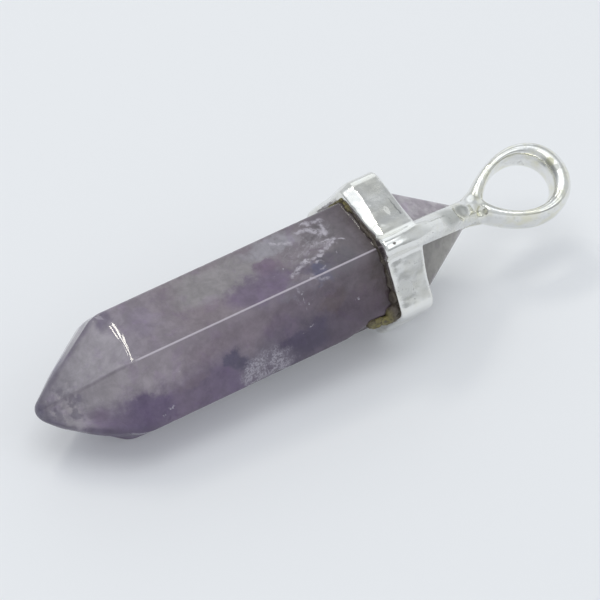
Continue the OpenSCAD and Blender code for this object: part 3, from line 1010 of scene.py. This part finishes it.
def cement():
    """Brown cement, olive at the far corner and in the lumps, with dark and pale flakes."""
    s = Shader("cement")
    drifting = s.warped(0.8, 0.8)
    olive = s.most(s.spot(drifting, (3.9, 1.2, 24.3), (1.6, 2.6, 2.0), 0.6),
                   s.spot(drifting, (-4.0, 1.9, 23.4), (1.2, 1.2, 1.5), 0.6))
    colour = s.mix(s.times(olive, 0.9), (86, 78, 71), (124, 116, 68))
    colour = s.mix(s.step(s.noise(0.3, 5.0, 0.7), 0.48, 0.64), colour, (66, 57, 44))
    flakes = s.step(s.noise(0.18, 5.0, 0.7), 0.60, 0.70)
    s.set("Base Color", s.tint(colour, flakes, 0.6, (150, 144, 132)))
    s.set("Roughness", s.step(s.noise(0.2, 3.0), 0.3, 0.7, 0.45, 0.75))
    s.bump(s.noise(0.12, 4.0, 0.7), 0.8, 0.06)
    return s.material


# Stage: floor, light and camera

FLOOR_SIDE = 1.5
FLOOR_TONES = ((0.667, 0.676, 0.696, 1), (0.677, 0.686, 0.706, 1))
FLOOR_LUMPS = 60.0
FLOOR_GLOW, FLOOR_GLOW_STRENGTH = (0.92, 0.95, 1.0, 1), 0.15
# Soft patches of the studio's light: azimuth, elevation, radius where it starts and where it is
# full, all in degrees, and the change
ROOM_PATCHES = (
    (146, 57, 48, 12, -0.18), (-95, 18, 48, 12, -0.32), (20, 0, 45, 10, -0.24),
    (-150, 57, 24, 10, 0.5), (150, 30, 24, 15, 0.55), (33, 44, 19, 9, 0.8), (60, 70, 13, 5, 0.35),
    (98, 69, 15, 9, 0.42), (108, 4, 34, 10, 0.25))
ROOM_LIGHT, ROOM_COLOUR = 0.66, (0.93, 0.97, 1.0, 1)
WHITE, WARM_WHITE = (1, 1, 1), (1.0, 0.97, 0.86)
# Area lights: azimuth, elevation, distance, width and height in metres, power in watts, colour
SOFTBOXES = {
    "ceiling": (-40, 84, 0.6, 0.36, 0.36, 0.80, WHITE),
    "strip_back_near": (-158, 59, 0.5, 0.030, 0.08, 0.125, WARM_WHITE),
    "strip_back_far": (-174, 60, 0.5, 0.030, 0.08, 0.125, WARM_WHITE),
    "strip_back_short": (176, 57, 0.5, 0.030, 0.035, 0.055, WARM_WHITE),
}
# Camera: angles in degrees, distance and target in millimetres, focal length in image pixels
CAMERA_AZIMUTH, CAMERA_ELEVATION = -31.536, 44.435
CAMERA_DISTANCE, CAMERA_TARGET = 256.14, (-0.695, -0.329, 4.243)
FOCAL_PIXELS, IMAGE_PIXELS, SENSOR_WIDTH = 3978.5, 600, 36.0


def look_direction(azimuth, elevation):
    """Direction as seen from the pendant; azimuth 0 is its front, from -Y, turning to +X."""
    a, e = math.radians(azimuth), math.radians(elevation)
    return Vector((math.sin(a) * math.cos(e), -math.cos(a) * math.cos(e), math.sin(e)))


def pale_paper():
    s = Shader("pale_paper")
    coordinates = s.add("TexCoord")
    tones = s.add("Mix")
    tones.data_type = "RGBA"
    lumps = s.noise(FLOOR_LUMPS, 2.0, 0.5, 0.0, coordinates.outputs["Object"])
    s.put(tones.inputs["Factor"], lumps)
    tones.inputs["A"].default_value, tones.inputs["B"].default_value = FLOOR_TONES
    s.set("Base Color", tones.outputs["Result"])
    s.set("Emission Color", FLOOR_GLOW)
    s.set("Emission Strength", FLOOR_GLOW_STRENGTH)
    s.set("Roughness", 0.9)
    s.set("Specular IOR Level", 0.1)
    return s.material


def floor():
    mesh = bpy.data.meshes.new("floor")
    corners = [(x * FLOOR_SIDE, y * FLOOR_SIDE, 0) for x, y in ((-1, -1), (1, -1), (1, 1), (-1, 1))]
    mesh.from_pydata(corners, [], [(0, 1, 2, 3)])
    mesh.materials.append(pale_paper())
    plane = bpy.data.objects.new("floor", mesh)
    bpy.context.scene.collection.objects.link(plane)


def patch_strength(tree, direction, outer, inner, change):
    """Light that a soft round patch of the room adds."""
    coordinates = tree.nodes.new("ShaderNodeTexCoord")
    facing = tree.nodes.new("ShaderNodeVectorMath")
    facing.operation = "DOT_PRODUCT"
    facing.inputs[1].default_value = direction
    tree.links.new(coordinates.outputs["Generated"], facing.inputs[0])
    patch = tree.nodes.new("ShaderNodeMapRange")
    patch.interpolation_type = "SMOOTHSTEP"
    patch.inputs["From Min"].default_value = math.cos(math.radians(outer))
    patch.inputs["From Max"].default_value = math.cos(math.radians(inner))
    patch.inputs["To Max"].default_value = change
    tree.links.new(facing.outputs["Value"], patch.inputs["Value"])
    return patch.outputs["Result"]


def world():
    sky = bpy.data.worlds.new("studio")
    bpy.context.scene.world = sky
    sky.use_nodes = True
    tree = sky.node_tree
    total = None
    for azimuth, elevation, outer, inner, change in ROOM_PATCHES:
        added = tree.nodes.new("ShaderNodeMath")
        added.inputs[0].default_value = ROOM_LIGHT
        if total:
            tree.links.new(total, added.inputs[0])
        patch = patch_strength(tree, look_direction(azimuth, elevation), outer, inner, change)
        tree.links.new(patch, added.inputs[1])
        total = added.outputs[0]
    background = tree.nodes["Background"]
    tree.links.new(total, background.inputs["Strength"])
    background.inputs["Color"].default_value = ROOM_COLOUR


def softbox(name, azimuth, elevation, distance, width, height, power, colour):
    """Area light that looks at the pendant."""
    direction = look_direction(azimuth, elevation)
    light = bpy.data.lights.new(name, "AREA")
    light.shape = "RECTANGLE"
    light.size, light.size_y = width, height
    light.energy = power
    light.color = colour
    lamp = bpy.data.objects.new(name, light)
    lamp.location = direction * distance
    lamp.rotation_euler = direction.to_track_quat("Z", "Y").to_euler()
    bpy.context.scene.collection.objects.link(lamp)


def camera():
    """Camera at the photograph's viewing angle."""
    away = look_direction(CAMERA_AZIMUTH, CAMERA_ELEVATION)
    a = math.radians(CAMERA_AZIMUTH)
    right = Vector((math.cos(a), math.sin(a), 0))
    turn = Matrix((right, away.cross(right), away)).transposed().to_4x4()
    data = bpy.data.cameras.new("photo_camera")
    data.sensor_width = SENSOR_WIDTH
    data.lens = FOCAL_PIXELS * SENSOR_WIDTH / IMAGE_PIXELS
    data.clip_start, data.clip_end = 0.01, 10.0
    view = bpy.data.objects.new("photo_camera", data)
    place = (Vector(CAMERA_TARGET) + away * CAMERA_DISTANCE) * MM
    view.matrix_world = Matrix.Translation(place) @ turn
    bpy.context.scene.collection.objects.link(view)
    bpy.context.scene.camera = view


stone_body()
cast_cap()
cement_fill()
floor()
world()
for box_name, box_values in SOFTBOXES.items():
    softbox(box_name, *box_values)
camera()
bpy.context.scene.view_settings.view_transform = "Standard"
